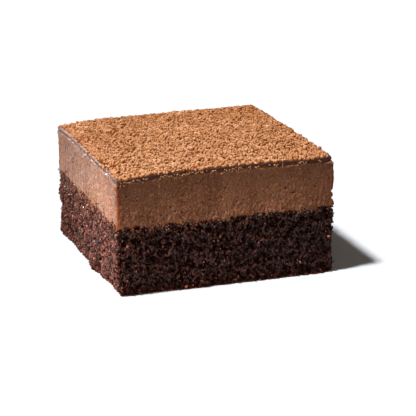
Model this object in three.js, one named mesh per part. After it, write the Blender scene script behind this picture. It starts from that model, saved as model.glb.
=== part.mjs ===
// A square portion of chocolate mousse cake, cut from a tray: a dark chocolate cake, a thicker
// light mousse, a thin set glaze and a dusting of cocoa. Millimetres, +Z up, -Y is the front.
// The origin lies under the middle of the portion, on the surface that it stands on.

import * as THREE from 'three';
import { ImprovedNoise } from 'three/addons/math/ImprovedNoise.js';

// The portion and its layers.
const SIDE = 70;
const CAKE_TOP = 21.5;
const MOUSSE_TOP = 36.3;
const GLAZE_TOP = 37.2;
const DUSTING = 0.65;
const LAYER_GAP = 0.1;

// The knife leaves the corners of the cake and the mousse nearly sharp. The glaze rounds over.
const CAKE_CORNER = 0.9;
const MOUSSE_CORNER = 1.0;
const GLAZE_EDGE = 0.55;
const GLAZE_OVERHANG = 0.05;

// Crags and crumb on the cut cake.
const CRAG_DEPTH = 0.5;
const CRAG_SIZE = 5.5;
const CRUMB_DEPTH = 0.6;
const CRUMB_SIZE = 1.7;

// The foot of the cake: it spreads in front, more to the right, tucks in at the left front
// corner, and has one lump of crumb on the left side.
const FOOT_SPREAD = 0.9;
const FOOT_SPREAD_X = 20;
const FOOT_SPREAD_RUN = 22;
const FOOT_TUCK = 0.9;
const FOOT_TUCK_Y = -28;
const FOOT_TUCK_RUN = 12;
const FOOT_LUMP = 1.0;
const FOOT_LUMP_Y = -8;
const FOOT_LUMP_RUN = 3;
const FOOT_HEIGHT = 7;

// The seam between cake and mousse runs up and down round the sides, and is level inside.
const SEAM_WAVE = 1.1;
const SEAM_WAVE_SIZE = 7;
const SEAM_DEPTH = 3;

// The mousse: a slight belly, upright drag marks of the knife, and two nicks near the top and
// bottom of its right front edge, from height to height.
const BELLY = 0.25;
const DRAG_DEPTH = 0.22;
const DRAG_SIZE = 3.1;
const NICK_DEPTH = 0.75;
const NICK_HEIGHTS = [24.6, 27.1];
const NICK_RISE = 1.1;
const NICK_REACH = 4;

// The cocoa: clumps, a rim that wavers in and out, and low swells over the whole top.
const DUST_INSET = 0.85;
const DUST_WAVER = 0.35;
const DUST_WAVER_SIZE = 4;
const CLUMP_SIZES = [1.15, 2.6];
const SWELL = 0.25;
const SWELL_SIZE = 19;
const THINNEST_DUST = 0.2;
const DUST_CORNER_CUT = 0.5;

// How finely the solids are faceted.
const STRAIGHT_STEPS = 32;
const CORNER_STEPS = 4;
const DUST_CELLS = 42;
const CAKE_LEVELS = 12;
const MOUSSE_LEVELS = 8;
const EDGE_STEPS = 3;

const noise = new ImprovedNoise();
// Perlin noise is nought on whole numbers, so every use is moved off them.
const OFF_GRID = 0.37;

function waver(x, y, z, size) {
  return noise.noise(x / size + OFF_GRID, y / size + OFF_GRID, z / size + OFF_GRID);
}

// 1 at centre, falling smoothly to 0 within a few runs of it.
function bump(value, centre, run) {
  const away = (value - centre) / run;
  return Math.exp(-away * away);
}

// The points of a rounded square, anticlockwise, each with its outward direction.
function squareOutline(inset, cornerRadius) {
  const flat = SIDE / 2 - inset - cornerRadius;
  const outline = [];
  for (let side = 0; side < 4; side += 1) {
    const turn = (side * Math.PI) / 2;
    const add = (x, y, angle) => {
      const place = new THREE.Vector2(x, y).rotateAround(new THREE.Vector2(), turn);
      const outward = new THREE.Vector2(Math.cos(angle + turn), Math.sin(angle + turn));
      outline.push({ place, outward });
    };
    for (let step = 0; step < STRAIGHT_STEPS; step += 1) {
      add(flat + cornerRadius, flat * ((2 * step) / STRAIGHT_STEPS - 1), 0);
    }
    for (let step = 0; step < CORNER_STEPS; step += 1) {
      const angle = (step / CORNER_STEPS) * (Math.PI / 2);
      add(flat + cornerRadius * Math.cos(angle), flat + cornerRadius * Math.sin(angle), angle);
    }
  }
  return outline;
}

// One closed ring of a layer. heightAt and reliefAt take a place on the outline.
function ring(inset, cornerRadius, heightAt, reliefAt) {
  return squareOutline(inset, cornerRadius).map(({ place, outward }) => {
    const z = heightAt(place.x, place.y);
    const relief = reliefAt(place.x, place.y, z, outward);
    return new THREE.Vector3(place.x + outward.x * relief, place.y + outward.y * relief, z);
  });
}

// Rings of equal length, from bottom to top, become one closed solid. Each four-sided facet is
// split along its shorter diagonal, so two layers that share a seam are split alike there.
function solidFromRings(rings) {
  const points = rings.flat();
  const count = rings[0].length;
  const triangles = [];
  const addFacet = (a, b, c, d) => {
    const alongAC = points[a].distanceTo(points[c]) < points[b].distanceTo(points[d]);
    triangles.push(...(alongAC ? [a, b, c, a, c, d] : [a, b, d, b, c, d]));
  };
  for (let level = 0; level + 1 < rings.length; level += 1) {
    for (let step = 0; step < count; step += 1) {
      const here = level * count + step;
      const next = level * count + ((step + 1) % count);
      addFacet(here, next, next + count, here + count);
    }
  }
  const cap = (level, up) => {
    const contour = rings[level].map((point) => new THREE.Vector2(point.x, point.y));
    THREE.ShapeUtils.triangulateShape(contour, []).forEach(([a, b, c]) => {
      const corners = up ? [a, b, c] : [a, c, b];
      triangles.push(...corners.map((corner) => corner + level * count));
    });
  };
  cap(0, false);
  cap(rings.length - 1, true);
  return geometryFrom(points, triangles);
}

function geometryFrom(points, triangles) {
  const geometry = new THREE.BufferGeometry().setFromPoints(points);
  geometry.setIndex(triangles);
  geometry.computeVertexNormals();
  return geometry;
}

const levelAt = (z) => () => z;
const noRelief = () => 0;

function seamHeight(x, y) {
  return CAKE_TOP + SEAM_WAVE * waver(x, y, 0, SEAM_WAVE_SIZE);
}

function footShift(x, y, z, outward) {
  const front = Math.max(0, -outward.y) * FOOT_SPREAD * bump(x, FOOT_SPREAD_X, FOOT_SPREAD_RUN);
  const lump = FOOT_LUMP * bump(y, FOOT_LUMP_Y, FOOT_LUMP_RUN);
  const tuck = FOOT_TUCK * bump(y, FOOT_TUCK_Y, FOOT_TUCK_RUN);
  const left = Math.max(0, -outward.x) * (lump - tuck);
  return (front + left) * bump(z, 0, FOOT_HEIGHT);
}

function cakeRelief(x, y, z, outward) {
  const crags = CRAG_DEPTH * waver(x, y, z, CRAG_SIZE) + CRUMB_DEPTH * waver(x, y, z, CRUMB_SIZE);
  return crags + footShift(x, y, z, outward);
}

function mousseRelief(x, y, z, outward) {
  const rise = (z - CAKE_TOP) / (MOUSSE_TOP - CAKE_TOP);
  const belly = BELLY * Math.sin(Math.PI * THREE.MathUtils.clamp(rise, 0, 1));
  const drag = DRAG_DEPTH * waver(x, y, 0, DRAG_SIZE);
  const toCorner = Math.hypot(x - SIDE / 2, y + SIDE / 2);
  const nicks = NICK_HEIGHTS.reduce((sum, height) => sum + bump(z, height, NICK_RISE), 0);
  return belly + drag - NICK_DEPTH * nicks * bump(toCorner, 0, NICK_REACH) * Math.max(0, outward.x);
}

function cakeGeometry() {
  const rings = [];
  for (let level = 0; level <= CAKE_LEVELS; level += 1) {
    const heightAt = (x, y) => (seamHeight(x, y) * level) / CAKE_LEVELS;
    rings.push(ring(0, CAKE_CORNER, heightAt, cakeRelief));
  }
  rings.push(ring(SEAM_DEPTH, CAKE_CORNER, levelAt(CAKE_TOP), noRelief));
  return solidFromRings(rings);
}

// The mousse starts on the very points where the cake ends, raised by the gap between layers.
function mousseGeometry() {
  const rings = [
    ring(SEAM_DEPTH, CAKE_CORNER, levelAt(CAKE_TOP + LAYER_GAP), noRelief),
    ring(0, CAKE_CORNER, seamHeight, cakeRelief),
  ];
  rings[1].forEach((point) => point.setZ(point.z + LAYER_GAP));
  for (let level = 1; level <= MOUSSE_LEVELS; level += 1) {
    const rise = level / MOUSSE_LEVELS;
    const heightAt = (x, y) => THREE.MathUtils.lerp(seamHeight(x, y), MOUSSE_TOP, rise);
    rings.push(ring(0, MOUSSE_CORNER, heightAt, mousseRelief));
  }
  return solidFromRings(rings);
}

function glazeGeometry() {
  const skirt = (x, y) => mousseRelief(x, y, MOUSSE_TOP, { x: 0, y: 0 }) + GLAZE_OVERHANG;
  const rings = [ring(0, MOUSSE_CORNER, levelAt(MOUSSE_TOP + LAYER_GAP), skirt)];
  for (let step = 0; step <= EDGE_STEPS; step += 1) {
    const angle = (step / EDGE_STEPS) * (Math.PI / 2);
    const inset = GLAZE_EDGE * (1 - Math.cos(angle));
    const height = GLAZE_TOP - GLAZE_EDGE * (1 - Math.sin(angle));
    rings.push(ring(inset, MOUSSE_CORNER, levelAt(height), skirt));
  }
  return solidFromRings(rings);
}

function dustHeight(x, y) {
  const clump = CLUMP_SIZES.reduce((sum, size) => sum + Math.abs(waver(x, y, size, size)), 0);
  const swell = SWELL * waver(x, y, 0, SWELL_SIZE);
  const depth = THREE.MathUtils.lerp(THINNEST_DUST, DUSTING, clump) + swell;
  return GLAZE_TOP + LAYER_GAP + THREE.MathUtils.clamp(depth, THINNEST_DUST, DUSTING);
}

// A square sheet of cocoa: a grid on top, a short wall round it and a flat underside.
function dustGeometry() {
  const half = SIDE / 2 - DUST_INSET;
  const across = DUST_CELLS + 1;
  const points = [];
  for (let row = 0; row < across; row += 1) {
    for (let column = 0; column < across; column += 1) {
      const u = (2 * column) / DUST_CELLS - 1;
      const v = (2 * row) / DUST_CELLS - 1;
      const cut = DUST_CORNER_CUT * (u * v) ** 8;
      const reach = half - cut + DUST_WAVER * waver(u * half, v * half, 0, DUST_WAVER_SIZE);
      points.push(new THREE.Vector3(u * reach, v * reach, dustHeight(u * half, v * half)));
    }
  }
  const triangles = [];
  for (let row = 0; row < DUST_CELLS; row += 1) {
    for (let column = 0; column < DUST_CELLS; column += 1) {
      const here = row * across + column;
      triangles.push(here, here + 1, here + across + 1);
      triangles.push(here, here + across + 1, here + across);
    }
  }
  const rim = [];
  for (let step = 0; step < DUST_CELLS; step += 1) rim.push(step);
  for (let step = 0; step < DUST_CELLS; step += 1) rim.push(step * across + DUST_CELLS);
  for (let step = 0; step < DUST_CELLS; step += 1) rim.push(across * across - 1 - step);
  for (let step = 0; step < DUST_CELLS; step += 1) rim.push((DUST_CELLS - step) * across);
  const foot = rim.map((index) => points[index].clone().setZ(GLAZE_TOP + LAYER_GAP));
  const firstFoot = points.length;
  rim.forEach((index, step) => {
    const next = (step + 1) % rim.length;
    triangles.push(firstFoot + step, firstFoot + next, rim[next]);
    triangles.push(firstFoot + step, rim[next], index);
  });
  const contour = foot.map((point) => new THREE.Vector2(point.x, point.y));
  THREE.ShapeUtils.triangulateShape(contour, []).forEach(([a, b, c]) => {
    triangles.push(firstFoot + a, firstFoot + c, firstFoot + b);
  });
  return geometryFrom(points.concat(foot), triangles);
}

function layer(name, geometry, color, roughness) {
  const material = new THREE.MeshStandardMaterial({ color, roughness, metalness: 0 });
  const mesh = new THREE.Mesh(geometry, material);
  mesh.name = name;
  return mesh;
}

const portion = new THREE.Group();
portion.name = 'chocolate_mousse_cake_square';
portion.add(
  layer('cake_base', cakeGeometry(), 0x3c2520, 0.85),
  layer('mousse_layer', mousseGeometry(), 0x7d5440, 0.6),
  layer('glaze_layer', glazeGeometry(), 0x35211d, 0.3),
  layer('cocoa_dusting', dustGeometry(), 0xa8703f, 0.95),
);

// The crags are uneven, so the whole portion is moved until its box is centred on the origin.
const box = new THREE.Box3().setFromObject(portion);
const middle = box.getCenter(new THREE.Vector3());
portion.position.set(-middle.x, -middle.y, -box.min.z);
portion.updateMatrixWorld(true);

export default portion;
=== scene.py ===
"""A square portion of chocolate mousse cake: dark chocolate cake, chocolate mousse, a thin set
glaze and a crust of clumped cocoa powder. Shapes are worked out in millimetres in the portion's
own square, and turned to metres in the frame when their mesh is made."""

import math

import bmesh
import bpy
import numpy as np
from mathutils import Matrix, Vector, noise


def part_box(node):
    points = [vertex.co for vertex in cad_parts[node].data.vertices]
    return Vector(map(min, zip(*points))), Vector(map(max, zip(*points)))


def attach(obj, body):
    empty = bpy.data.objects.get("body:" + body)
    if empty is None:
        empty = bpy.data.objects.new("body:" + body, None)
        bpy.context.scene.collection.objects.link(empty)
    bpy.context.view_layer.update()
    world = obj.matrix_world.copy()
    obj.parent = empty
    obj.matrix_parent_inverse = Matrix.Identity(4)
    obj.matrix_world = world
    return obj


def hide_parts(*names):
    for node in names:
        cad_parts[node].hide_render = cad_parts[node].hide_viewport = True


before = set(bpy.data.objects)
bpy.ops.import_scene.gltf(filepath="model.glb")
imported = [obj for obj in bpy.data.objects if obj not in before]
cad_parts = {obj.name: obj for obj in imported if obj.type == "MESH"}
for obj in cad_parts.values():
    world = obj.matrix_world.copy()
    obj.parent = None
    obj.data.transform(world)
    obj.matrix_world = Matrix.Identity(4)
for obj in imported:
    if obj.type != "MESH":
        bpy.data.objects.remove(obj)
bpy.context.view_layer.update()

MM = 0.001

# --- What the frame gives: the square's middle and half side, and the heights of the layers ---

glaze_low, glaze_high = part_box("glaze_layer")
MIDDLE = Vector(((glaze_low.x + glaze_high.x) / 2, (glaze_low.y + glaze_high.y) / 2, 0))
HALF = (glaze_high.x - glaze_low.x) / 2 / MM - 0.1
GLAZE_FOOT = glaze_low.z / MM
GLAZE_TOP = glaze_high.z / MM
CAKE_TOP = (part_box("cake_base")[1].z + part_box("mousse_layer")[0].z) / 2 / MM

SEED = 20260417


# --- Steps, humps and noise, which all shapes are made of ---

def smooth_step(low, high, value):
    """Rises from 0 at low to 1 at high, gently at both ends."""
    t = np.clip((value - low) / (high - low), 0, 1)
    return t * t * (3 - 2 * t)


def hump(value, centre, run):
    """1 at the centre, fading to almost nothing over twice the run on both sides."""
    return np.exp(-((value - centre) / run) ** 2)


def humps(value, several):
    """The sum of some humps, each given as its height, its centre and its run."""
    return sum(height * hump(value, centre, run) for height, centre, run in several)


def swell(points, size, seed=0):
    """Smooth noise, about -1 to 1, with hills about size mm across."""
    away = Vector((seed * 7.31, seed * 3.17, seed * 5.23))
    return np.array([noise.noise(Vector(p) / size + away) for p in points]) * 1.6


def swells(points, several):
    """The sum of some swells, each given as its height, its size and its seed."""
    return sum(height * swell(points, size, seed) for height, size, seed in several)


def cells(points, size, seed=0):
    """For each point: its way to the middle of the nearest cell and of the next one, in cells,
    and a fixed random number, 0 to 1, of the nearest."""
    away = Vector((seed * 3.71, seed * 9.13, seed * 1.97))
    found = [noise.voronoi(Vector(p) / size + away) for p in points]
    near = np.array([ways[0] for ways, _ in found])
    second = np.array([ways[1] for ways, _ in found])
    middles = np.array([tuple(places[0]) for _, places in found])
    tag = np.sin(middles @ np.array([12.9898, 78.233, 37.719])) * 43758.5453
    return near, second, tag - np.floor(tag)


# --- What all layers share: a crown, and upright edges that aren't quite straight ---

def from_corner(place, x_side, y_side):
    """How far places are from one of the square's corners, in mm."""
    return np.hypot(place[:, 0] - x_side * HALF, place[:, 1] - y_side * HALF)


# How far the top lies above level, and how deep it dips and over what run, in mm.
CROWN = 0.82
LEFT_DIP, LEFT_DIP_RUN = 0.7, 4
LEFT_FRONT_DIP, LEFT_FRONT_DIP_RUN = 0.85, 10
LEFT_BACK_DIP, LEFT_BACK_DIP_RUN = 0.9, 9
RIGHT_FRONT_DIP, RIGHT_FRONT_DIP_RUN = 0.45, 19


def crown(place):
    """How far above level the top of the mousse, and all on it, lies at these places, in mm: it
    dips along the left edge, most at its corners, and gently at the right front corner."""
    edge = LEFT_DIP * hump(place[:, 0], -HALF, LEFT_DIP_RUN)
    corners = LEFT_FRONT_DIP * hump(from_corner(place, -1, -1), 0, LEFT_FRONT_DIP_RUN)
    corners += LEFT_BACK_DIP * hump(from_corner(place, -1, 1), 0, LEFT_BACK_DIP_RUN)
    right_front = RIGHT_FRONT_DIP * hump(from_corner(place, 1, -1), 0, RIGHT_FRONT_DIP_RUN)
    return CROWN - np.hypot(edge, corners) - right_front


def at_front_edge(points, run_left, run_front):
    """How near points are to the left front upright edge, 1 on it, fading over these runs in mm
    along the left side and along the front."""
    along = np.abs(points[:, 0]) - np.abs(points[:, 1])
    near = hump(along, 0, np.where(along > 0, run_left, run_front))
    return near * (points[:, 0] + points[:, 1] < 0)


def leftward(outward):
    """1 where a cut faces left, falling to 0 on the cuts that face the front and the back."""
    return smooth_step(0.3, 0.8, -outward[:, 0])


def front_or_right(outward):
    """1 where a cut faces the front or the right, 0 where it faces the left or the back."""
    return smooth_step(-0.5, 0.5, outward[:, 0] - outward[:, 1])


# How far two upright edges stand out, and over what run, in mm.
LEFT_BACK_OUT, LEFT_BACK_RUN = 0.35, 12
RIGHT_FRONT_OUT, RIGHT_FRONT_RUN = 0.5, 8


def stand_out(points, outward):
    """How far the cut sides of all layers stand out at two upright edges, in mm."""
    left = hump(points[:, 1], HALF, LEFT_BACK_RUN) * np.maximum(0, -outward[:, 0])
    right = hump(from_corner(points, 1, -1), 0, RIGHT_FRONT_RUN) * np.maximum(0, outward[:, 0])
    return LEFT_BACK_OUT * left + RIGHT_FRONT_OUT * right


SLUMP = 0.75
SLUMP_WAY = np.array([-0.8, 0.6])
SLUMP_RUN = 2.2


def slump(place, run=SLUMP_RUN):
    """How far the upper edge is rounded off at the right front corner, as steps in mm towards
    the portion's middle. The rounding fades over run mm."""
    return SLUMP * hump(from_corner(place, 1, -1), 0, run)[:, None] * SLUMP_WAY


# --- Making meshes ---

def piece(name, points, faces, material, slot, node=None, smooth=True, **tones):
    """A mesh object from points in mm, with the CAD node that it replaces, if any; the slot
    argument is not used.
    Each of tones becomes a point attribute, 0 to 1."""
    mesh = bpy.data.meshes.new(name)
    places = np.asarray(points, float) * MM + np.array(MIDDLE)
    mesh.from_pydata(places.tolist(), [], faces)
    mesh.polygons.foreach_set("use_smooth", [smooth] * len(mesh.polygons))
    for tone, values in tones.items():
        attribute = mesh.attributes.new(tone, "FLOAT", "POINT")
        attribute.data.foreach_set("value", np.asarray(values, np.float32))
    mesh.materials.append(material)
    mesh.validate()
    made = bpy.data.objects.new(name, mesh)
    bpy.context.scene.collection.objects.link(made)
    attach(made, "root")
    if node:
        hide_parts(node)


def outline(share, half, corner):
    """Places on a rounded square at shares, 0 to 1, of the way round it, anticlockwise from the
    front end of its right side, the outward direction at each, and the way gone, all in mm."""
    flat = half - corner
    quarter = 2 * flat + corner * math.pi / 2
    way = np.asarray(share) * 4 * quarter
    side, along = np.divmod(way, quarter)
    angle = np.clip((along - 2 * flat) / corner, 0, math.pi / 2)
    x = flat + corner * np.cos(angle)
    y = np.minimum(along, 2 * flat) - flat + corner * np.sin(angle)
    cos, sin = np.cos(side * math.pi / 2), np.sin(side * math.pi / 2)
    place = np.stack([x * cos - y * sin, x * sin + y * cos], 1)
    turned = angle + side * math.pi / 2
    return place, np.stack([np.cos(turned), np.sin(turned)], 1), way


def rounded_square(columns, half, corner):
    """The same at so many evenly spaced places, which make one ring."""
    return outline(np.arange(columns) / columns, half, corner)


def wall_faces(levels, columns):
    """Four-sided faces between rings of points, and one face on each end ring."""
    here = np.arange((levels - 1) * columns).reshape(levels - 1, columns)
    after = np.roll(here, -1, axis=1)
    quads = np.stack([here, after, after + columns, here + columns], -1).reshape(-1, 4)
    top = list(range((levels - 1) * columns, levels * columns))
    return quads.tolist() + [list(range(columns))[::-1], top]


# --- Materials ---

def paint(hex_colour):
    """An sRGB hex colour as linear RGBA."""
    channels = [int(hex_colour[i:i + 2], 16) / 255 for i in (1, 3, 5)]
    linear = [c / 12.92 if c <= 0.04045 else ((c + 0.055) / 1.055) ** 2.4 for c in channels]
    return (*linear, 1.0)


def add(tree, kind, inputs, **settings):
    """One shader node with its settings, and its inputs as values or as links."""
    node = tree.nodes.new("ShaderNode" + kind)
    for name, value in settings.items():
        setattr(node, name, value)
    for name, value in inputs.items():
        if isinstance(value, bpy.types.NodeSocket):
            tree.links.new(value, node.inputs[name])
        else:
            node.inputs[name].default_value = value
    return node


def new_material(name):
    """An empty material and its node tree."""
    material = bpy.data.materials.new(name)
    material.use_nodes = True
    tree = material.node_tree
    tree.nodes.clear()
    return material, tree


def layered(tree, colour, layers):
    """A colour with others laid over it, each given as its share, 0 to 1, and the colour. Of the
    Mix node, socket 0 is the share and 6 and 7 are the two colours."""
    for share, over in layers:
        mixed = add(tree, "Mix", {0: share, 6: colour, 7: over}, data_type="RGBA")
        colour = mixed.outputs[2]
    return colour


def noise_in_mm(tree, millimetres, detail=2.0, stretch=(1, 1, 1)):
    """A noise texture in the object's own metres, whose blobs are about so many mm across."""
    place = add(tree, "TexCoord", {}).outputs["Object"]
    mapped = add(tree, "Mapping", {"Vector": place, "Scale": stretch}).outputs["Vector"]
    scale = 1 / (millimetres * MM)
    return add(tree, "TexNoise", {"Vector": mapped, "Scale": scale, "Detail": detail}).outputs[0]


def patches(tree, millimetres, bounds, values, stretch=(1, 1, 1)):
    """Patches of about so many mm: the first value where the noise is below its bounds, the
    second where it is above them, and blended between."""
    pattern = noise_in_mm(tree, millimetres, stretch=stretch)
    low, high = bounds
    first, second = values
    ranged = add(tree, "MapRange", {0: pattern, 1: low, 2: high, 3: first, 4: second})
    return ranged.outputs[0]


def chocolate_crumb():
    """Baked chocolate cake, torn by the knife: brown-red on the walls between its holes and
    painted nearly black in the holes as shade, with moist glints."""
    material, tree = new_material("chocolate_crumb")
    tone = add(tree, "Attribute", {}, attribute_name="tone").outputs["Fac"]
    sunk = add(tree, "Attribute", {}, attribute_name="sunk").outputs["Fac"]
    wet = add(tree, "Attribute", {}, attribute_name="wet").outputs["Fac"]
    fine = patches(tree, 0.5, (0.42, 0.58), (0.0, 0.9), stretch=(1, 1, 0.6))
    colour = layered(tree, paint("#43261f"), [
        # tone is painted darker where shade falls
        (tone, paint("#b36c5a")),
        (fine, paint("#2b1511")),
        # painted shade: the holes are nearly black
        (sunk, paint("#1b0b07")),
    ])
    grit = noise_in_mm(tree, 0.45, detail=3.0)
    bump = add(tree, "Bump", {"Height": grit, "Strength": 1.0, "Distance": 0.3 * MM})
    beads = patches(tree, 0.6, (0.48, 0.53), (0.0, 1.0), stretch=(1, 1, 0.5))
    film = add(tree, "Math", {0: beads, 1: wet}, operation="MULTIPLY").outputs[0]
    shader = add(tree, "BsdfPrincipled", {
        "Base Color": colour, "Roughness": 0.85, "IOR": 1.3, "Specular IOR Level": 0.1,
        "Coat Weight": film, "Coat Roughness": 0.11, "Coat IOR": 1.75,
        "Normal": bump.outputs["Normal"],
    })
    add(tree, "OutputMaterial", {"Surface": shader.outputs[0]})
    return material


def mousse_foam():
    """Set chocolate mousse, a fine foam smoothed by the knife: satin and a little translucent, and
    wet in small upright patches. Along the lit left front edge its orange glow is partly the
    translucency and partly painted. Painted shade darkens it towards the back, at the ends of the
    front, under the glaze and in its pits. Its bubbles are drawn as coarse as they need to show."""
    material, tree = new_material("mousse_foam")
    pit = add(tree, "Attribute", {}, attribute_name="sunk").outputs["Fac"]
    dull = add(tree, "Attribute", {}, attribute_name="dull").outputs["Fac"]
    edge = add(tree, "Attribute", {}, attribute_name="edge").outputs["Fac"]
    wet = add(tree, "Attribute", {}, attribute_name="wet").outputs["Fac"]
    cloud = patches(tree, 4.0, (0.35, 0.65), (0.0, 1.0), stretch=(1, 1, 0.35))
    speck = patches(tree, 0.45, (0.54, 0.66), (0.0, 0.75))
    fleck = patches(tree, 0.5, (0.38, 0.47), (0.8, 0.0))
    colour = layered(tree, paint("#ab775b"), [
        (cloud, paint("#925f43")),
        (speck, paint("#6a3620")),
        (fleck, paint("#cb9166")),
        # painted shade: darker towards the back, at the ends of the front and under the glaze
        (dull, paint("#68422c")),
        # painted glow: orange along the lit left front edge
        (edge, paint("#803a12")),
        # painted shade in the pinhole pits
        (pit, paint("#1e0e09")),
    ])
    grain = noise_in_mm(tree, 0.35, detail=3.0)
    bump = add(tree, "Bump", {"Height": grain, "Strength": 1.0, "Distance": 0.2 * MM})
    satin = patches(tree, 1.6, (0.4, 0.6), (0.5, 0.36))
    beads = patches(tree, 0.7, (0.53, 0.6), (0.0, 1.0), stretch=(1, 1, 0.4))
    film = add(tree, "Math", {0: beads, 1: wet}, operation="MULTIPLY").outputs[0]
    shader = add(tree, "BsdfPrincipled", {
        "Base Color": colour, "Roughness": satin, "IOR": 1.3, "Specular IOR Level": 0.35,
        "Coat Weight": film, "Coat Roughness": 0.18, "Coat IOR": 1.5,
        "Subsurface Weight": 0.6, "Subsurface Radius": (1.0, 0.35, 0.13),
        "Subsurface Scale": 0.45 * MM, "Normal": bump.outputs["Normal"],
    })
    add(tree, "OutputMaterial", {"Surface": shader.outputs[0]})
    return material


def set_glaze():
    """Poured chocolate glaze, set: very dark, with a soft gloss, and with a painted grey-lilac
    sheen along its lit left edge."""
    material, tree = new_material("set_glaze")
    dusted = add(tree, "Attribute", {}, attribute_name="dusted").outputs["Fac"]
    cloud = patches(tree, 2.5, (0.35, 0.65), (0.0, 1.0))
    sheen_patches = patches(tree, 0.9, (0.35, 0.6), (0.1, 1.0))
    # painted sheen: grey-lilac in patches on the lit left bevel
    film = add(tree, "Math", {0: dusted, 1: sheen_patches}, operation="MULTIPLY").outputs[0]
    colour = layered(tree, paint("#351a14"), [
        (cloud, paint("#4c2a20")),
        (film, paint("#a98f89")),
    ])
    grain = noise_in_mm(tree, 0.5)
    bump = add(tree, "Bump", {"Height": grain, "Strength": 0.7, "Distance": 0.15 * MM})
    dulled = patches(tree, 1.4, (0.35, 0.65), (0.4, 0.65))
    shader = add(tree, "BsdfPrincipled", {
        "Base Color": colour, "Roughness": dulled, "IOR": 1.46, "Specular IOR Level": 0.3,
        "Normal": bump.outputs["Normal"],
    })
    add(tree, "OutputMaterial", {"Surface": shader.outputs[0]})
    return material


def cocoa_powder():
    """Sifted cocoa powder that has taken up moisture and clumped: matt, orange-brown on the
    clumps, with painted shade in deep brown in the cracks between them and painted highlights as
    paler tips. Its grains are far finer than the render can show, so the grit is drawn as coarse
    as it needs to show."""
    material, tree = new_material("cocoa_powder")
    tone = add(tree, "Attribute", {}, attribute_name="tone").outputs["Fac"]
    rise = add(tree, "Attribute", {}, attribute_name="rise").outputs["Fac"]
    dust = patches(tree, 0.4, (0.35, 0.65), (0.0, 0.5))
    # Painted shade and highlight: low parts are deep brown in the cracks, and the highest get pale
    # tips, paler where the tone is higher.
    high = add(tree, "MapRange", {0: rise, 1: 0.75, 2: 1.0, 3: 0.0, 4: 0.75}).outputs[0]
    dry = add(tree, "MapRange", {0: tone, 1: 0.0, 2: 0.8, 3: 0.45, 4: 1.0}).outputs[0]
    painted_highlight = add(tree, "Math", {0: high, 1: dry}, operation="MULTIPLY").outputs[0]
    out_of_cracks = add(tree, "MapRange", {0: rise, 1: 0.15, 2: 0.75}).outputs[0]
    clump = layered(tree, paint("#895429"), [
        (tone, paint("#ad7b52")),
        (dust, paint("#a16b40")),
        (painted_highlight, paint("#d6aa8c")),
    ])
    colour = layered(tree, paint("#5a2606"), [(out_of_cracks, clump)])
    grit = noise_in_mm(tree, 0.25, detail=3.0)
    bump = add(tree, "Bump", {"Height": grit, "Strength": 0.5, "Distance": 0.1 * MM})
    shader = add(tree, "BsdfPrincipled", {
        "Base Color": colour, "Roughness": 0.95, "IOR": 1.3, "Specular IOR Level": 0.05,
        "Normal": bump.outputs["Normal"],
    })
    add(tree, "OutputMaterial", {"Surface": shader.outputs[0]})
    return material


def floor_card():
    """Matt pale card."""
    material, tree = new_material("floor_card")
    shader = add(tree, "BsdfPrincipled", {
        "Base Color": paint("#bec1c5"), "Roughness": 0.9, "IOR": 1.3,
    })
    add(tree, "OutputMaterial", {"Surface": shader.outputs[0]})
    return material


CRUMB = chocolate_crumb()
FOAM = mousse_foam()
GLAZE = set_glaze()
COCOA = cocoa_powder()


# --- Crumbs and grains: many small uneven lumps in one mesh ---

def lump_shape():
    """Corners and faces of one round lump of 1 mm radius, with 20 facets."""
    lump = bmesh.new()
    bmesh.ops.create_icosphere(lump, subdivisions=1, radius=1)
    corners = np.array([tuple(vertex.co) for vertex in lump.verts])
    faces = np.array([[vertex.index for vertex in face.verts] for face in lump.faces])
    lump.free()
    return corners, faces


LUMP_CORNERS, LUMP_FACES = lump_shape()


def random_turns(rng, count, upright=False):
    """A turning matrix for each lump: any way round, or only about the upright axis."""
    if upright:
        angle = rng.uniform(0, 2 * math.pi, count)
        cos, sin, none, one = np.cos(angle), np.sin(angle), np.zeros(count), np.ones(count)
        rows = [[cos, -sin, none], [sin, cos, none], [none, none, one]]
    else:
        four = rng.normal(size=(4, count))
        w, x, y, z = four / np.linalg.norm(four, axis=0)
        rows = [[1 - 2 * (y * y + z * z), 2 * (x * y - z * w), 2 * (x * z + y * w)],
                [2 * (x * y + z * w), 1 - 2 * (x * x + z * z), 2 * (y * z - x * w)],
                [2 * (x * z - y * w), 2 * (y * z + x * w), 1 - 2 * (x * x + y * y)]]
    return np.array(rows).transpose(2, 0, 1)


def lumps(rng, places, radii, uneven=0.22, upright=False):
    """Points and faces of lumps at places, each with three radii and its own turn, and how high
    on its lump each point sits, 0 to 1."""
    count = len(places)
    corners = LUMP_CORNERS * (1 + rng.uniform(-uneven, uneven, (count, len(LUMP_CORNERS), 1)))
    corners = corners * radii[:, None, :]
    corners = np.einsum("nij,nkj->nki", random_turns(rng, count, upright), corners)
    lowest, highest = corners[:, :, 2].min(1), corners[:, :, 2].max(1)
    rise = (corners[:, :, 2] - lowest[:, None]) / (highest - lowest)[:, None]
    firsts = len(LUMP_CORNERS) * np.arange(count)
    faces = LUMP_FACES[None] + firsts[:, None, None]
    points = corners + places[:, None, :]
    return points.reshape(-1, 3), faces.reshape(-1, 3).tolist(), rise.ravel()


def for_each_corner(values):
    """Gives the value of each lump to all its corners."""
    return np.repeat(values, len(LUMP_CORNERS))


# --- The seam between cake and mousse, which both follow ---

# Height, size and seed of the seam's waves, and how far drips hang below them, in mm.
SEAM_WAVES = [(0.45, 7, 1), (0.4, 2.2, 2), (0.4, 0.8, 3)]
DRIP_SIZE = 1.3
DRIP_LENGTH = 0.9


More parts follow.
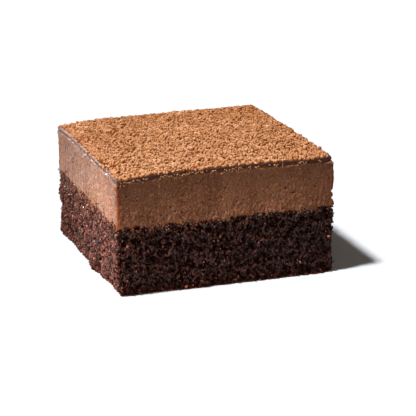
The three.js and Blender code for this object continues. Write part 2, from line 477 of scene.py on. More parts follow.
def seam(place):
    """Height of the seam at places round the outline: slow waves, then torn crumb, with short
    drips of mousse."""
    flat = np.column_stack([place, np.zeros(len(place))])
    drips = smooth_step(0.2, 0.9, swell(flat, DRIP_SIZE, 4))
    return CAKE_TOP + 0.1 + swells(flat, SEAM_WAVES) - DRIP_LENGTH * drips


# --- The cake ---

# Radius of the cake's upright edges, and how far apart its points lie, in mm.
CAKE_CORNER = 1.4
CAKE_GRID = 0.255

# How far in from the sides the hidden flat faces between the layers lie, in mm.
LID_INSET = 3

# How far the foot stands out of the front and of the left side, where along the side, and over
# what run, and how far up this reaches, in mm.
FRONT_FOOT = [(0.9, 20, 22), (-0.6, -26, 10)]
LEFT_FOOT = [(1.0, -8, 3), (-0.9, -28, 12)]
FOOT_HEIGHT = 7


def foot_shift(points, outward):
    """The foot spreads in front, more to the right, is tucked in at the left front corner, and
    has a lump of crumb on the left side."""
    x, y, z = points.T
    front = np.maximum(0, -outward[:, 1]) * humps(x, FRONT_FOOT)
    left = np.maximum(0, -outward[:, 0]) * humps(y, LEFT_FOOT)
    return (front + left) * hump(z, 0, FOOT_HEIGHT)


# Each kind of cell in the crumb: its size in mm, the share of torn bubbles, how deep these are
# and how far granules stand out, both in mm, and a seed.
CRUMB_CELLS = [(1.7, 0.16, 0.8, 0.2, 1), (0.95, 0.46, 1.0, 0.4, 2), (0.5, 0.55, 0.65, 0.4, 3)]

# How far the walls between the cells bend to and fro, and over what length, and how far whole
# cuts do, in mm.
CELL_BEND, CELL_BEND_SIZE = 0.35, 1.4
CUT_BEND, CUT_BEND_SIZE = 0.35, 5.5


def crumb_relief(points, outward):
    """How far the cut crumb stands out, in mm, and a random tone and a depth for its colour, which
    paints shade into its holes.
    Every cell of the crumb is either a granule that stands out or a torn bubble. On the left and
    at the back the knife pulled the cells tall."""
    bend = np.stack([swell(points, CELL_BEND_SIZE, seed) for seed in (11, 12, 13)], 1)
    pulled = smooth_step(0.2, 0.6, np.maximum(-outward[:, 0], outward[:, 1]))
    bent = points + CELL_BEND * bend
    bent[:, 2] *= 0.8 - 0.35 * pulled
    relief = CUT_BEND * swell(points, CUT_BEND_SIZE, 14)
    depth = np.zeros(len(points))
    tone = 0.5
    for size, hole_share, deepest, stands, seed in CRUMB_CELLS:
        near, second, tag = cells(bent, size, seed)
        inside = smooth_step(0.04, 0.42, second - near)
        hole = tag < hole_share
        depth += np.where(hole, deepest * inside, 0)
        relief += np.where(hole, 0, stands * inside * (tag - hole_share) / (1 - hole_share))
        tone = 0.5 * tone + 0.5 * tag
    return relief - depth, smooth_step(0.3, 0.75, tone), smooth_step(0.1, 0.45, depth)


def wetness(points, outward, most, least):
    """How much glistening film lies on a cut, 0 to 1: most of it on the left and back, above all
    just under the seam on the left, and none at the left front edge or at the foot."""
    _, y, z = points.T
    wet = most + (least - most) * front_or_right(outward)
    wet *= 1 - 0.7 * smooth_step(-0.2 * HALF, HALF, y)
    far_left = leftward(outward) * smooth_step(-0.5 * HALF, 0.5 * HALF, y)
    wet = np.maximum(wet, 0.75 * far_left * hump(z, CAKE_TOP - 2, 4))
    return wet * (1 - at_front_edge(points, 2, 0.8)) * smooth_step(0.5, 4, z)


def crumb_tone(points, outward, tone):
    """Darkens a tone of crumb, 0 to 1, as painted shade: the front and right cuts are darker, most
    of all at the right front corner, and so are the left front edge and the far end of the left
    side. The very foot stays dry and pale."""
    x, y, z = points.T
    right_front = smooth_step(-HALF, HALF, x - y - HALF)
    # Painted shade on the front and right cuts, at the far end of the left side and at the left
    # front edge.
    front_shade = (0.66 + 0.34 * right_front) * front_or_right(outward)
    far = 0.48 * smooth_step(-0.6 * HALF, HALF, y) * leftward(outward)
    edge = 0.9 * at_front_edge(points, 2, 0.6)
    darkened = tone * (1 - front_shade) * (1 - far) * (1 - edge)
    dry_foot = 0.6 * hump(z, 0, 0.5)
    return np.maximum(darkened, dry_foot)


def make_cake():
    """A fine wall from the foot to the seam, with the crumb as relief, closed by flat faces."""
    columns = round((8 * HALF) / CAKE_GRID)
    place, outward, _ = rounded_square(columns, HALF, CAKE_CORNER)
    rim = seam(place)
    levels = round(CAKE_TOP / CAKE_GRID)
    rings = []
    for level in range(levels + 1):
        rings.append(np.column_stack([place, rim * level / levels]))
    points = np.concatenate(rings)
    facing = np.tile(outward, (levels + 1, 1))
    relief, tone, sunk = crumb_relief(points, facing)
    relief += foot_shift(points, facing) + stand_out(points, facing)
    points[:, :2] += facing * relief[:, None]
    wet = wetness(points, facing, most=0.7, least=0.36) * (1 - 0.85 * sunk)
    tone = crumb_tone(points, facing, tone)
    inner, _, _ = rounded_square(columns, HALF - LID_INSET, CAKE_CORNER)
    lid = np.column_stack([inner, np.full(columns, CAKE_TOP - 0.8)])
    points = np.concatenate([points, lid])
    ends = np.zeros(columns)
    tone, sunk, wet = (np.concatenate([values, ends]) for values in (tone, sunk, wet))
    faces = wall_faces(levels + 2, columns)
    piece("cake_crumb", points, faces, CRUMB, "chocolate_cake", "cake_base",
          tone=tone, sunk=sunk, wet=wet)


# How many crumbs there are, how far above the seam dragged ones lie on average and the radii of
# crumbs, both in mm, the share of big crumbs, how much larger they are, and the share of dry ones.
HANGING_CRUMBS = 7800
DRAGGED_CRUMBS = 350
DRAGGED_UP = 0.9
CRUMB_RADII = (0.12, 0.29)
BIG_SHARE = 0.04
BIG_SIZE = 1.6
DRY_SHARE = 0.15


def make_crumbs():
    """Crumbs that hang on the cut sides of the cake, and a few dragged up over the mousse."""
    rng = np.random.default_rng(SEED + 3)
    count = HANGING_CRUMBS + DRAGGED_CRUMBS
    hanging, dragged = slice(HANGING_CRUMBS), slice(HANGING_CRUMBS, count)
    place, outward, _ = outline(rng.uniform(0, 1, count), HALF, CAKE_CORNER)
    height = np.zeros(count)
    height[hanging] = rng.uniform(0.3, CAKE_TOP + 0.2, HANGING_CRUMBS)
    height[dragged] = CAKE_TOP + rng.exponential(DRAGGED_UP, DRAGGED_CRUMBS)
    points = np.column_stack([place, height])
    relief, _, _ = crumb_relief(points, outward)
    relief[dragged] = 0.02
    radii = rng.uniform(*CRUMB_RADII, (count, 1)) * rng.uniform(0.6, 1.3, (count, 3))
    radii[hanging, 2] *= 1.5
    radii[dragged] *= (0.55, 0.55, 1.0)
    big = rng.uniform(size=count) < BIG_SHARE
    radii[big] *= BIG_SIZE
    stand = relief + foot_shift(points, outward) + stand_out(points, outward)
    stand += 0.3 * radii.mean(1)
    points[:, :2] += outward * stand[:, None]
    corners, faces, _ = lumps(rng, points, radii, uneven=0.35, upright=True)
    corners[:, 2] = np.maximum(corners[:, 2], 0)
    tone = crumb_tone(points, outward, rng.uniform(0.1, 1, count))
    dry = rng.uniform(size=count) < DRY_SHARE
    tone = np.where(dry, 0.95, tone)
    wet = for_each_corner(wetness(points, outward, most=0.8, least=0.45))
    piece("loose_crumbs", corners, faces, CRUMB, "chocolate_cake",
          tone=for_each_corner(tone), sunk=np.zeros(len(corners)), wet=wet)


make_cake()
make_crumbs()


# --- The mousse ---

# Radius of the mousse's upright edges, how far apart its points lie, and the height of its top
# before the crown, in mm.
FOAM_CORNER = 0.8
FOAM_GRID = 0.22
FOAM_TOP = GLAZE_FOOT - 0.05

# How far these stand out of or into the mousse's cut sides, in mm. Waves, streaks and grain are
# swells, each with its height, size and seed.
WAIST = 0.15
SLOW_WAVES = [(0.1, 6, 21)]
STREAKS = [(0.035, 0.5, 22), (0.04, 1.3, 23)]
GRAIN = [(0.11, 0.65, 24)]
LEAN, LEAN_HEIGHTS, LEAN_RUN = 0.4, (27, 34), 9
LIP = 0.08
LIP_ROUNDING = 0.25
FOOT_STEP = 0.05

# Nicks in the right front edge: how deep each is (less than 0 where the edge bulges), how high
# its middle lies and its run up and down, in mm. They all fade over NICK_RUN from the edge.
NICKS = [(0.75, 26.4, 0.45), (0.5, 24.2, 0.4), (-0.3, 30.5, 2.5), (-0.3, 22.3, 1)]
NICK_RUN = 2.5


def above_top(points):
    """How far points lie above the mousse's crowned top, in mm: less than 0 on its sides."""
    return points[:, 2] - FOAM_TOP - crown(points)


def foam_relief(points, outward):
    """Waist, upright drag marks, lip, foot and nicks of the mousse's cut sides, in mm. The left
    side leans out near its front end, just below the top."""
    _, y, z = points.T
    top = FOAM_TOP + crown(points)
    rise = np.clip((z - CAKE_TOP) / (top - CAKE_TOP), 0, 1)
    waist = WAIST * np.sin(math.pi * rise)
    slow = swells(points * (1, 1, 0.35), SLOW_WAVES)
    low_down = 0.3 + 0.7 * (1 - smooth_step(0.1, 0.7, rise)) + np.maximum(0, -outward[:, 0])
    streaks = low_down * swells(points * (1, 1, 0.07), STREAKS)
    grain = swells(points * (1, 1, 0.6), GRAIN)
    lean = LEAN * smooth_step(*LEAN_HEIGHTS, z) * hump(y, -HALF, LEAN_RUN)
    lean *= np.maximum(0, -outward[:, 0])
    lip = LIP * hump(z - top, -1.1, 0.4) - LIP_ROUNDING * smooth_step(-0.8, -0.2, z - top)
    foot = FOOT_STEP * hump(rise, 0.04, 0.06)
    at_edge = hump(from_corner(points, 1, -1), 0, NICK_RUN)
    nicked = humps(z, NICKS) * at_edge * np.maximum(0, outward[:, 0])
    shape = slow - waist - nicked + lean + lip + foot + stand_out(points, outward)
    return shape + streaks + grain


PINHOLE_STEP = 1.3
PINHOLE_RADII = (0.2, 0.36)
PINHOLE_DEPTH = 0.5


def pinholes(points, way, levels, columns, rng):
    """Burst bubbles: small deep pits, about one for each 19 square mm of the cut sides. Gives how
    deep in one each point lies, 0 to 1."""
    depth = np.zeros(len(points))
    grid_z = points[:, 2].reshape(levels, columns)
    for at in np.arange(0, way[-1], PINHOLE_STEP):
        at += rng.uniform(0, PINHOLE_STEP)
        height = rng.uniform(CAKE_TOP + 1, FOAM_TOP - 1)
        radius = rng.uniform(*PINHOLE_RADII)
        near = np.flatnonzero(np.abs(way - at) < radius * 1.2)
        span = np.hypot((way[near] - at)[None, :], grid_z[:, near] - height) / radius
        pit = np.clip(1 - span ** 2, 0, 1)
        rows = np.arange(levels)[:, None] * columns + near[None, :]
        depth[rows] = np.maximum(depth[rows], pit)
    return depth


def dullness(points):
    """How much painted shade darkens the mousse, 0 to 1: towards the back, though less on the lit
    lip just below the top, a little at the ends of the front, and under the glaze."""
    x, y, _ = points.T
    above = above_top(points)
    patchy = 0.7 + 0.3 * swell(points, 5, 25)
    lit_lip = 0.7 * hump(above, -1.6, 1.2)
    back = 0.7 * smooth_step(-0.5 * HALF, 0.8 * HALF, y) * (1 - lit_lip)
    ends = 0.34 * smooth_step(0.3, 1, np.abs(x) / HALF) * smooth_step(-0.7, -0.9, y / HALF)
    under_glaze = 0.3 * smooth_step(-9, -2, above) + smooth_step(-0.8, -0.4, above)
    return np.clip((back + ends + under_glaze) * patchy, 0, 1)


def make_mousse():
    """A fine wall from the seam to the glaze, closed by flat faces hidden inside."""
    rng = np.random.default_rng(SEED)
    columns = round((8 * HALF) / FOAM_GRID)
    place, outward, way = rounded_square(columns, HALF, FOAM_CORNER)
    low, high = seam(place), FOAM_TOP + crown(place)
    levels = round((FOAM_TOP - CAKE_TOP) / FOAM_GRID) + 1
    rings = []
    for level in range(levels):
        rise = level / (levels - 1)
        rings.append(np.column_stack([place, low + (high - low) * rise]))
    points = np.concatenate(rings)
    facing = np.tile(outward, (levels, 1))
    pits = pinholes(points, way, levels, columns, rng)
    relief = foam_relief(points, facing) - PINHOLE_DEPTH * pits
    points[:, :2] += facing * relief[:, None]
    points[:, :2] += slump(points) * smooth_step(-1.5, 0, above_top(points))[:, None]
    inner, _, _ = rounded_square(columns, HALF - LID_INSET, FOAM_CORNER)
    base = np.column_stack([inner, np.full(columns, CAKE_TOP - 0.7)])
    lid = np.column_stack([inner, np.full(columns, FOAM_TOP - 0.6)])
    points = np.concatenate([base, points, lid])
    # The pits' depth paints shade into them.
    sunk = np.concatenate([np.zeros(columns), np.sqrt(pits), np.zeros(columns)])
    facing = np.concatenate([outward, facing, outward])
    wet = wetness(points, facing, most=1, least=0.1) * (1 - sunk)
    wet[:columns] = wet[-columns:] = 0
    # This paints an orange glow along the left front edge, below the top.
    edge = at_front_edge(points, 2.2, 0.75) * smooth_step(-0.5, -2, above_top(points))
    faces = wall_faces(levels + 2, columns)
    # Painted shade is passed to the mousse's material here.
    piece("mousse_block", points, faces, FOAM, "chocolate_mousse", "mousse_layer",
          sunk=sunk, dull=dullness(points), edge=edge, wet=wet)


SMEARS = 1700
SMEAR_RADII = (0.08, 0.22)

# A third of the smears lie on the far part of the left side, between these shares of the
# outline.
FAR_LEFT_SMEARS = 0.33
FAR_LEFT_SHARES = (0.5, 0.66)


def make_smears():
    """Bits of mousse that the knife dragged down over the top of the cake, furthest at the far
    end of the left side."""
    rng = np.random.default_rng(SEED + 4)
    on_far_left = rng.uniform(size=SMEARS) < FAR_LEFT_SMEARS
    share = np.where(on_far_left, rng.uniform(*FAR_LEFT_SHARES, SMEARS), rng.uniform(0, 1, SMEARS))
    place, outward, _ = outline(share, HALF, FOAM_CORNER)
    far_left = leftward(outward) * smooth_step(-0.4 * HALF, 0.8 * HALF, place[:, 1])
    drop = rng.exponential(0.6 + 3 * far_left)
    points = np.column_stack([place, seam(place) - drop])
    radii = rng.uniform(*SMEAR_RADII, (SMEARS, 1)) * rng.uniform(0.7, 1.3, (SMEARS, 3))
    radii *= 1 + 0.2 * far_left[:, None]
    relief, _, _ = crumb_relief(points, outward)
    stand = np.maximum(relief, -0.2) + 0.05 + stand_out(points, outward)
    points[:, :2] += outward * stand[:, None]
    corners, faces, _ = lumps(rng, points, radii, uneven=0.3)
    none = np.zeros(len(corners))
    # Smears at the far end of the left side get painted shade.
    piece("mousse_smears", corners, faces, FOAM, "chocolate_mousse", smooth=False,
          sunk=none, dull=for_each_corner(far_left), edge=none, wet=none + 1)


make_mousse()
make_smears()


# --- The glaze ---

GLAZE_COLUMNS = 900

# Radius of the glaze's upper edge and the steps in it, how far in its hidden faces end, how far
# its foot sags, and the waves in its edge: height, size and seed. Lengths in mm.
GLAZE_EDGE = 0.45
GLAZE_EDGE_STEPS = 8
GLAZE_LID_INSET = 4
SAG = 0.14
GLAZE_WAVES = [(0.08, 3.1, 31), (0.08, 1.1, 32)]


def make_glaze():
    """A sheet with a rounded upper edge, whose foot sags here and there over the mousse."""
    profile = [(0.15, GLAZE_FOOT - 0.03), (0, GLAZE_FOOT + 0.1)]
    for angle in np.linspace(0, math.pi / 2, GLAZE_EDGE_STEPS):
        inward = GLAZE_EDGE * (1 - math.cos(angle))
        profile.append((inward, GLAZE_TOP - GLAZE_EDGE * (1 - math.sin(angle))))
    rings, dusted = [], []
    place, outward, _ = rounded_square(GLAZE_COLUMNS, HALF, FOAM_CORNER)
    # The left side, but not its front end, gets a painted sheen, strongest towards the top where
    # the bevel faces the light and faint at the foot.
    sheen_side = leftward(outward) * (1 - at_front_edge(place, 3, 1))
    for inward, height in profile:
        points = np.column_stack([place, height + crown(place)])
        if height < GLAZE_FOOT + 0.2:
            points[:, 2] += SAG * np.minimum(0, swell(points, 1.2, 33))
        shift = swells(points, GLAZE_WAVES) - inward + stand_out(points, outward)
        points[:, :2] += outward * shift[:, None] + slump(place)
        rings.append(points)
        dusted.append(sheen_side * (0.35 + 0.65 * smooth_step(GLAZE_FOOT + 0.3, GLAZE_TOP, height)))
    inner, _, _ = rounded_square(GLAZE_COLUMNS, HALF - GLAZE_LID_INSET, FOAM_CORNER)
    rings.append(np.column_stack([inner, np.full(GLAZE_COLUMNS, GLAZE_TOP - 0.4)]))
    dusted.append(np.ones(GLAZE_COLUMNS))
    faces = wall_faces(len(rings), GLAZE_COLUMNS)
    piece("glaze_sheet", np.concatenate(rings), faces, GLAZE, "chocolate_glaze",
          "glaze_layer", dusted=np.concatenate(dusted))


make_glaze()


# --- The cocoa ---

# How far apart the crust's points lie, and half its square's side, in mm. The wavers in its
# edge have a height, a size and a seed each.
COCOA_GRID = 0.27
COCOA_HALF = HALF - 0.3
WAVERS = [(0.35, 1.8, 42), (0.15, 7, 43)]
CORNER_CUT = 0.25

# How much of the glaze the cocoa leaves bare along its edges, and how far it spreads beyond its
# square on the right and at the left back corner, in mm.
BARE_LEFT_MIDDLE = 0.1
BARE_LEFT_ENDS = 0.4
BARE_FRONT = 0.3
SPREAD = 0.35
COCOA_SLUMP_RUN = 3.5


def cocoa_outline(flat):
    """Moves places on a level square to where the cocoa lies: its edge wavers in and out, its
    corners are cut a little, and on the left and in front it stays clear of the glaze's edge."""
    cut = CORNER_CUT * np.abs(flat[:, 0] * flat[:, 1] / COCOA_HALF ** 2) ** 16
    moved = flat.copy()
    moved[:, :2] *= (1 + (swells(flat, WAVERS) - cut) / COCOA_HALF)[:, None]
    x, y, _ = moved.T
    to_ends = smooth_step(0.3, 0.8, np.abs(y) / COCOA_HALF)
    bare_left = BARE_LEFT_MIDDLE + (BARE_LEFT_ENDS - BARE_LEFT_MIDDLE) * to_ends
    x += bare_left * (COCOA_HALF - x) / (2 * COCOA_HALF)
    x += SPREAD * smooth_step(0, COCOA_HALF, x)
    x -= SPREAD * smooth_step(0, -COCOA_HALF, x) * hump(y, COCOA_HALF, 12)
    moved[:, :2] += slump(moved, COCOA_SLUMP_RUN)
    y += BARE_FRONT * (COCOA_HALF - y) / (2 * COCOA_HALF)
    return moved


def to_rim(flat):
    """How far in from the rim of the cocoa's square places lie, in mm."""
    return COCOA_HALF - np.abs(flat[:, :2]).max(1)


def towards_front(flat):
    """How far to the front places on the crust lie, 0 at the back to 1: there the clumps are
    larger, and painted paler as a highlight."""
    return smooth_step(HALF, -HALF, flat[:, 1])


def painted_light(flat):
    """How much painted light the clumps get on average, 0 to 1: paler towards the front, lighter
    to the left, where the key light falls, and darker to the right, away from it.
    """
    left, right = smooth_step(0, -HALF, flat[:, 0]), smooth_step(0, HALF, flat[:, 0])
    return (0.55 + 0.45 * towards_front(flat)) * (1 + 0.15 * left - 0.35 * right)


HEAP_SIZE = 1.7
IN_ROWS = (1, 0.45, 1)


def heaps(flat):
    """Where the cocoa is heaped up, about -1 to 1, in rows that run from front to back."""
    return swell(flat * IN_ROWS, HEAP_SIZE, 49)


def patchiness(flat):
    """Paler and darker patches of cocoa, 0 to 1: the heaps are the paler ones."""
    return np.clip(0.5 + 0.6 * heaps(flat) + 0.5 * swell(flat, 4, 48), 0, 1)


# Heights and sizes of the crust's relief, in mm.
LEAST_HEIGHT = 0.05
CLUMP_HEIGHT, CLUMP_SIZE = 0.5, 1.1
RIDGE_SIZE, RIDGE_BEND = 0.8, 0.3
HEAP_HEIGHT = 0.2
SLOW_HEIGHT, SLOW_SIZE = 0.1, 17


def crust_height(flat):
    """Height of the crust of cocoa over the glaze, in mm: crooked ridges broken into clumps, on
    low heaps that level out at the rim."""
    bend = [swell(flat, CLUMP_SIZE, 44), swell(flat, CLUMP_SIZE, 45), np.zeros(len(flat))]
    bent = flat + RIDGE_BEND * np.stack(bend, 1)
    ridge = smooth_step(-0.6, 0.25, swell(bent, RIDGE_SIZE, 46))
    near, second, tag = cells(bent, CLUMP_SIZE, 47)
    clump = smooth_step(0, 0.35, second - near)
    clumps = CLUMP_HEIGHT * ridge * clump * (0.5 + 0.5 * tag)
    heaped = HEAP_HEIGHT * heaps(flat) * smooth_step(HALF, HALF - 3, np.abs(flat).max(1))
    return LEAST_HEIGHT + clumps + SLOW_HEIGHT * swell(flat, SLOW_SIZE, 41) + heaped


def make_cocoa():
    """The crust: a fine grid with the clumps as relief, and a skirt down to the glaze."""
    steps = round(2 * COCOA_HALF / COCOA_GRID) + 1
    axis = np.linspace(-COCOA_HALF, COCOA_HALF, steps)
    x, y = np.meshgrid(axis, axis)
    flat = np.column_stack([x.ravel(), y.ravel(), np.zeros(x.size)])
    height = np.clip(crust_height(flat), 0.03, None) * smooth_step(-0.1, 0.4, to_rim(flat))
    points = cocoa_outline(flat)
    points[:, 2] = GLAZE_TOP + 0.02 + crown(points) + height
    here = np.arange(steps * steps).reshape(steps, steps)
    quads = np.stack([here[:-1, :-1], here[:-1, 1:], here[1:, 1:], here[1:, :-1]], -1)
    rim = np.concatenate([here[0, :-1], here[:-1, -1], here[-1, :0:-1], here[:0:-1, 0]])
    foot = points[rim].copy()
    foot[:, 2] = GLAZE_TOP - 0.05 + crown(foot)
    under = len(points) + np.arange(len(rim))
    skirt = np.stack([under, np.roll(under, -1), np.roll(rim, -1), rim], -1)
    faces = quads.reshape(-1, 4).tolist() + skirt.tolist() + [under[::-1].tolist()]
    # rise sets the painted shade in the cracks, deeper towards the front.
    lowest = 0.28 - 0.18 * towards_front(flat)
    rise = lowest + (1 - lowest) * smooth_step(0.06, 0.42, height)
    # tone carries painted light: paler to the front and left, darker to the right.
    tone = patchiness(flat) * painted_light(flat)
    tone = np.concatenate([tone, np.zeros(len(rim))])
    rise = np.concatenate([rise, np.zeros(len(rim))])
    piece("cocoa_crust", np.concatenate([points, foot]), faces, COCOA, "cocoa_powder",
          "cocoa_dusting", tone=tone, rise=rise)


# Clumps lie in staggered rows, which are nearer to each other than the clumps in one row. Each
# is moved by up to CLUMP_SHIFT each way. Its three lumps lie CLUMP_STEP apart. All in mm.
CLUMP_SPACING = 1.42
ROW_SPACING = CLUMP_SPACING * 0.87
CLUMP_SHIFT = 0.4
CLUMP_STEP = (0.32, 0.6)
CLUMP_RADII = (0.26, 0.52)


def make_grains():
    """Clumps all over the crust, in loosened rows: each is a short crooked string of lumps."""
    rng = np.random.default_rng(SEED + 1)
    across = np.arange(-COCOA_HALF, COCOA_HALF, CLUMP_SPACING)
    x, y = np.meshgrid(across, np.arange(-COCOA_HALF, COCOA_HALF, ROW_SPACING))
    x[1::2] += CLUMP_SPACING / 2
    middles = np.column_stack([x.ravel(), y.ravel()])
    middles += rng.uniform(-CLUMP_SHIFT, CLUMP_SHIFT, middles.shape)
    turn = rng.uniform(0, 2 * math.pi, len(middles))
    turned = turn + rng.uniform(-0.9, 0.9, len(middles))
    step = rng.uniform(*CLUMP_STEP, (len(middles), 1))
    behind = middles - step * np.stack([np.cos(turn), np.sin(turn)], 1)
    ahead = middles + step * np.stack([np.cos(turned), np.sin(turned)], 1)
    furthest = COCOA_HALF - 0.1
    flat = np.clip(np.concatenate([middles, behind, ahead]), -furthest, furthest)
    count = len(flat)
    flat = np.column_stack([flat, np.zeros(count)])
    points = cocoa_outline(flat)
    radii = rng.uniform(*CLUMP_RADII, (count, 1)) * rng.uniform(0.8, 1.2, (count, 3))
    front = towards_front(flat)
    radii *= (0.92 + 0.16 * front + 0.2 * hump(flat[:, 1], -COCOA_HALF, 5))[:, None]
    radii[:, 2] *= 1.2 + 0.3 * front
    lift = np.tile(rng.uniform(-0.3, 0.25, len(middles)), 3) * (0.7 + 0.5 * front)
    lift += rng.uniform(-0.12, 0.12, count)
    lift -= 0.4 * (1 - smooth_step(0, 2.5, to_rim(flat)))
    points[:, 2] = GLAZE_TOP + crown(points) + crust_height(flat) + lift
    # rise paints shade low on each lump and a pale highlight on its top.
    corners, faces, rise = lumps(rng, points, radii, uneven=0.25, upright=True)
    tone = 0.6 * np.tile(rng.uniform(0, 1, len(middles)), 3) + 0.4 * patchiness(flat)
    tone = for_each_corner(tone * painted_light(flat))
    piece("cocoa_grains", corners, faces, COCOA, "cocoa_powder", tone=tone, rise=rise)


# Grains tried all round the edge, of which only those in the broken row and the drips are kept.
TRIED_GRAINS = 1700
GRAIN_RADII = (0.1, 0.26)
DRIP_SHARE = 0.4


def make_fallen_grains():
    """Grains that have slipped over the edge, but not on the left or at the right front corner:
    most are caught under the glaze's foot, in a broken row, and the rest run in short drips just
    below that."""
    rng = np.random.default_rng(SEED + 2)
    place, outward, _ = outline(rng.uniform(0, 1, TRIED_GRAINS), HALF, FOAM_CORNER)
    flat = np.column_stack([place, np.zeros(TRIED_GRAINS)])
    share = swell(flat, 5, 51) + 0.8 * swell(flat, 1.3, 52)
    share += np.maximum(0, -outward[:, 1]) * (0.6 - 0.3 * place[:, 0] / HALF)
    share -= 3 * smooth_step(0.1, 0.5, -outward[:, 0])
    share -= 3 * hump(from_corner(place, 1, -1), 0, 2.5)
    kept = share > 0.25
    place, outward = place[kept], outward[kept]
    count = len(place)
    low = rng.uniform(size=count) < DRIP_SHARE
    drop = np.where(low, 0.3 + rng.exponential(0.6, count), rng.uniform(-0.2, 0.45, count))
    radii = rng.uniform(*GRAIN_RADII, (count, 1)) * rng.uniform(0.7, 1.3, (count, 3))
    radii[low] *= (0.7, 0.7, 1.8)
    points = np.column_stack([place, GLAZE_FOOT + crown(place) - drop])
    points[:, :2] += outward * np.where(low, 0.12, rng.uniform(0, 0.28, count))[:, None]
    corners, faces, rise = lumps(rng, points, radii, upright=True)
    tone = for_each_corner(rng.uniform(0.2, 0.7, count))
    # rise is kept high, so these grains get little painted shade and pale tops.
    piece("fallen_grains", corners, faces, COCOA, "cocoa_powder", tone=tone,
          rise=0.7 + 0.27 * rise)


make_cocoa()
make_grains()
make_fallen_grains()


# --- Floor, light and camera ---

# Half the floor's side, in metres.
FLOOR = 3.0


def make_floor():
    """A wide pale card. It throws no soft light back onto the portion, so that the matt crumb
    stays as dark as the real one."""
    corners = [(-FLOOR, -FLOOR, 0), (FLOOR, -FLOOR, 0), (FLOOR, FLOOR, 0), (-FLOOR, FLOOR, 0)]
    mesh = bpy.data.meshes.new("floor")
    mesh.from_pydata(corners, [], [(0, 1, 2, 3)])
    mesh.materials.append(floor_card())
    floor = bpy.data.objects.new("floor", mesh)
    bpy.context.scene.collection.objects.link(floor)
    floor.visible_diffuse = False


# Angles and softness in degrees, the panel's place and size in mm. FROM is the way to a light.
KEY_ELEVATION = 64.0
KEY_TURN = 5.0
KEY_POWER = 6.3
KEY_SOFTNESS = 6.5
SKY_GLOW = 0.09
FILL_FROM = Vector((-0.25, -0.95, 0.13))
FILL_POWER = 0.96
FILL_SOFTNESS = 40
FAR_FILL_FROM = Vector((0.8, 0.55, 0.1))
FAR_FILL_POWER = 0.45
RIM_FROM = Vector((-0.62, 0.77, 0.14))
RIM_POWER = 1.1
RIM_SOFTNESS = 10
PANEL_PLACE = Vector((-80, -33, 40))
PANEL_SIZE = 30
PANEL_POWER = 0.0095
WARM = (1.0, 0.85, 0.74)
SLIGHTLY_WARM = (1.0, 0.96, 0.9)


def add_sun(name, towards, power, softness, colour=(1, 1, 1)):
    """A light so far off that its rays run side by side; towards is the way to it."""
    sun = bpy.data.lights.new(name, "SUN")
    sun.energy = power
    sun.angle = math.radians(softness)
    sun.color = colour
    lamp = bpy.data.objects.new(name, sun)
    lamp.rotation_euler = towards.to_track_quat("Z", "Y").to_euler()
    bpy.context.scene.collection.objects.link(lamp)


def make_lights():
    """A key light high on the left, a broad warm fill low in front and a dimmer one behind on
    the right, and a rim light low behind on the left, which grazes the left side and makes it
    glisten. A small panel close to the left side, in line with the front, lights the near end of
    the left side most and the front not at all."""
    up, turn = math.radians(KEY_ELEVATION), math.radians(KEY_TURN)
    level = Vector((-math.cos(turn), -math.sin(turn), 0))
    key_from = level * math.cos(up) + Vector((0, 0, math.sin(up)))
    add_sun("key", key_from, KEY_POWER, KEY_SOFTNESS)
    add_sun("fill", FILL_FROM, FILL_POWER, FILL_SOFTNESS, WARM)
    add_sun("far fill", FAR_FILL_FROM, FAR_FILL_POWER, FILL_SOFTNESS, WARM)
    add_sun("rim", RIM_FROM, RIM_POWER, RIM_SOFTNESS)
    light = bpy.data.lights.new("panel", "AREA")
    light.size = PANEL_SIZE * MM
    light.energy = PANEL_POWER
    light.color = SLIGHTLY_WARM
    panel = bpy.data.objects.new("panel", light)
    panel.rotation_euler = Vector((-1, 0, 0)).to_track_quat("Z", "Y").to_euler()
    panel.location = PANEL_PLACE * MM
    panel.visible_camera = False
    bpy.context.scene.collection.objects.link(panel)


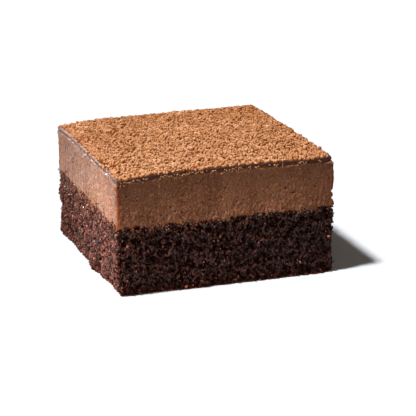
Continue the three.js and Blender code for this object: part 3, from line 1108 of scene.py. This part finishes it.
def make_world():
    """A dim warm glow all round. Only the camera sees it as white."""
    world = bpy.data.worlds.new("studio")
    world.use_nodes = True
    tree = world.node_tree
    tree.nodes.clear()
    seen = add(tree, "LightPath", {}).outputs["Is Camera Ray"]
    glow = add(tree, "Background", {"Color": (*WARM, 1), "Strength": SKY_GLOW}).outputs[0]
    white = add(tree, "Background", {"Color": (1, 1, 1, 1), "Strength": 1.0}).outputs[0]
    both = add(tree, "MixShader", {0: seen, 1: glow, 2: white}).outputs[0]
    add(tree, "OutputWorld", {"Surface": both})
    bpy.context.scene.world = world


# Angles in degrees, lengths in mm.
CAMERA_TURN = -18.7201
CAMERA_ELEVATION = 17.2399
CAMERA_DISTANCE = 529.75
CAMERA_AIM_HEIGHT = 18.0
CAMERA_PAN = -0.6085
CAMERA_TILT = -0.3781
CAMERA_ROLL = -0.5011
CAMERA_LENS = 139.85
SENSOR = 36.0


def make_camera():
    """A long lens at the photograph's angle. It aims near the portion's middle, then pans,
    tilts and rolls by small angles until the four upright edges lie as they do there."""
    turn, up = math.radians(CAMERA_TURN), math.radians(CAMERA_ELEVATION)
    back = Vector((math.sin(turn) * math.cos(up), -math.cos(turn) * math.cos(up), math.sin(up)))
    right = Vector((math.cos(turn), math.sin(turn), 0))
    place = MIDDLE + (Vector((0, 0, CAMERA_AIM_HEIGHT)) + back * CAMERA_DISTANCE) * MM
    axes = Matrix((right, back.cross(right), back)).transposed()
    for angle, axis in ((CAMERA_PAN, "Y"), (CAMERA_TILT, "X"), (CAMERA_ROLL, "Z")):
        axes = axes @ Matrix.Rotation(math.radians(angle), 3, axis)
    data = bpy.data.cameras.new("camera")
    data.sensor_width = SENSOR
    data.lens = CAMERA_LENS
    data.clip_start = 0.01
    camera = bpy.data.objects.new("camera", data)
    camera.matrix_world = Matrix.Translation(place) @ axes.to_4x4()
    bpy.context.scene.collection.objects.link(camera)
    bpy.context.scene.camera = camera


make_floor()
make_lights()
make_world()
make_camera()
bpy.context.scene.view_settings.view_transform = "Standard"
